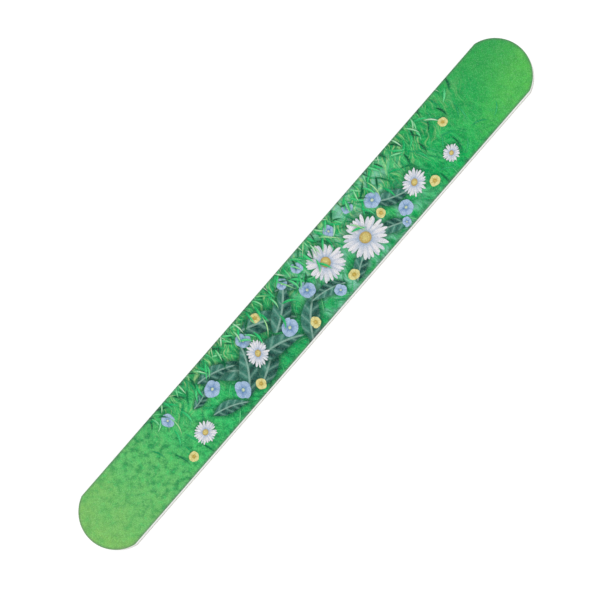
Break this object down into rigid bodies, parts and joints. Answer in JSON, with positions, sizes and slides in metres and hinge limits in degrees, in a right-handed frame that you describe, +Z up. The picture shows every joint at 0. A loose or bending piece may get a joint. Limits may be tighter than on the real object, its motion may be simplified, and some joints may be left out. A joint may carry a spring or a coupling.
{
  "type": "emery board",
  "caption": "Straight cushioned emery board with rounded ends: a printed abrasive face and a plain one, on foam either side of a stiff plastic strip, for filing nails.",
  "frame": {"origin": "on the resting plane, under the middle of the board", "axes": "+X along the board, +Y across it, +Z up out of the printed face"},
  "size_m": [0.178, 0.02, 0.004],
  "materials": {
    "print": "printed colour over fine grit, matt",
    "plain_grit": "fine pale abrasive grains in resin",
    "backing_paper": "cut edge of latex paper",
    "adhesive": "thin translucent film",
    "foam": "cut closed-cell foam",
    "board_plastic": "sheared sheet edge"
  },
  "bodies": {
    "root": {"lower_grit_coat": "plain_grit", "lower_backing_paper": "backing_paper", "lower_face_adhesive": "adhesive", "lower_foam_cushion": "foam", "lower_core_adhesive": "adhesive", "centre_board": "board_plastic", "upper_core_adhesive": "adhesive", "upper_foam_cushion": "foam", "upper_face_adhesive": "adhesive", "upper_backing_paper": "backing_paper", "upper_grit_coat": "plain_grit", "print_film": "print"}
  },
  "joints": []
}
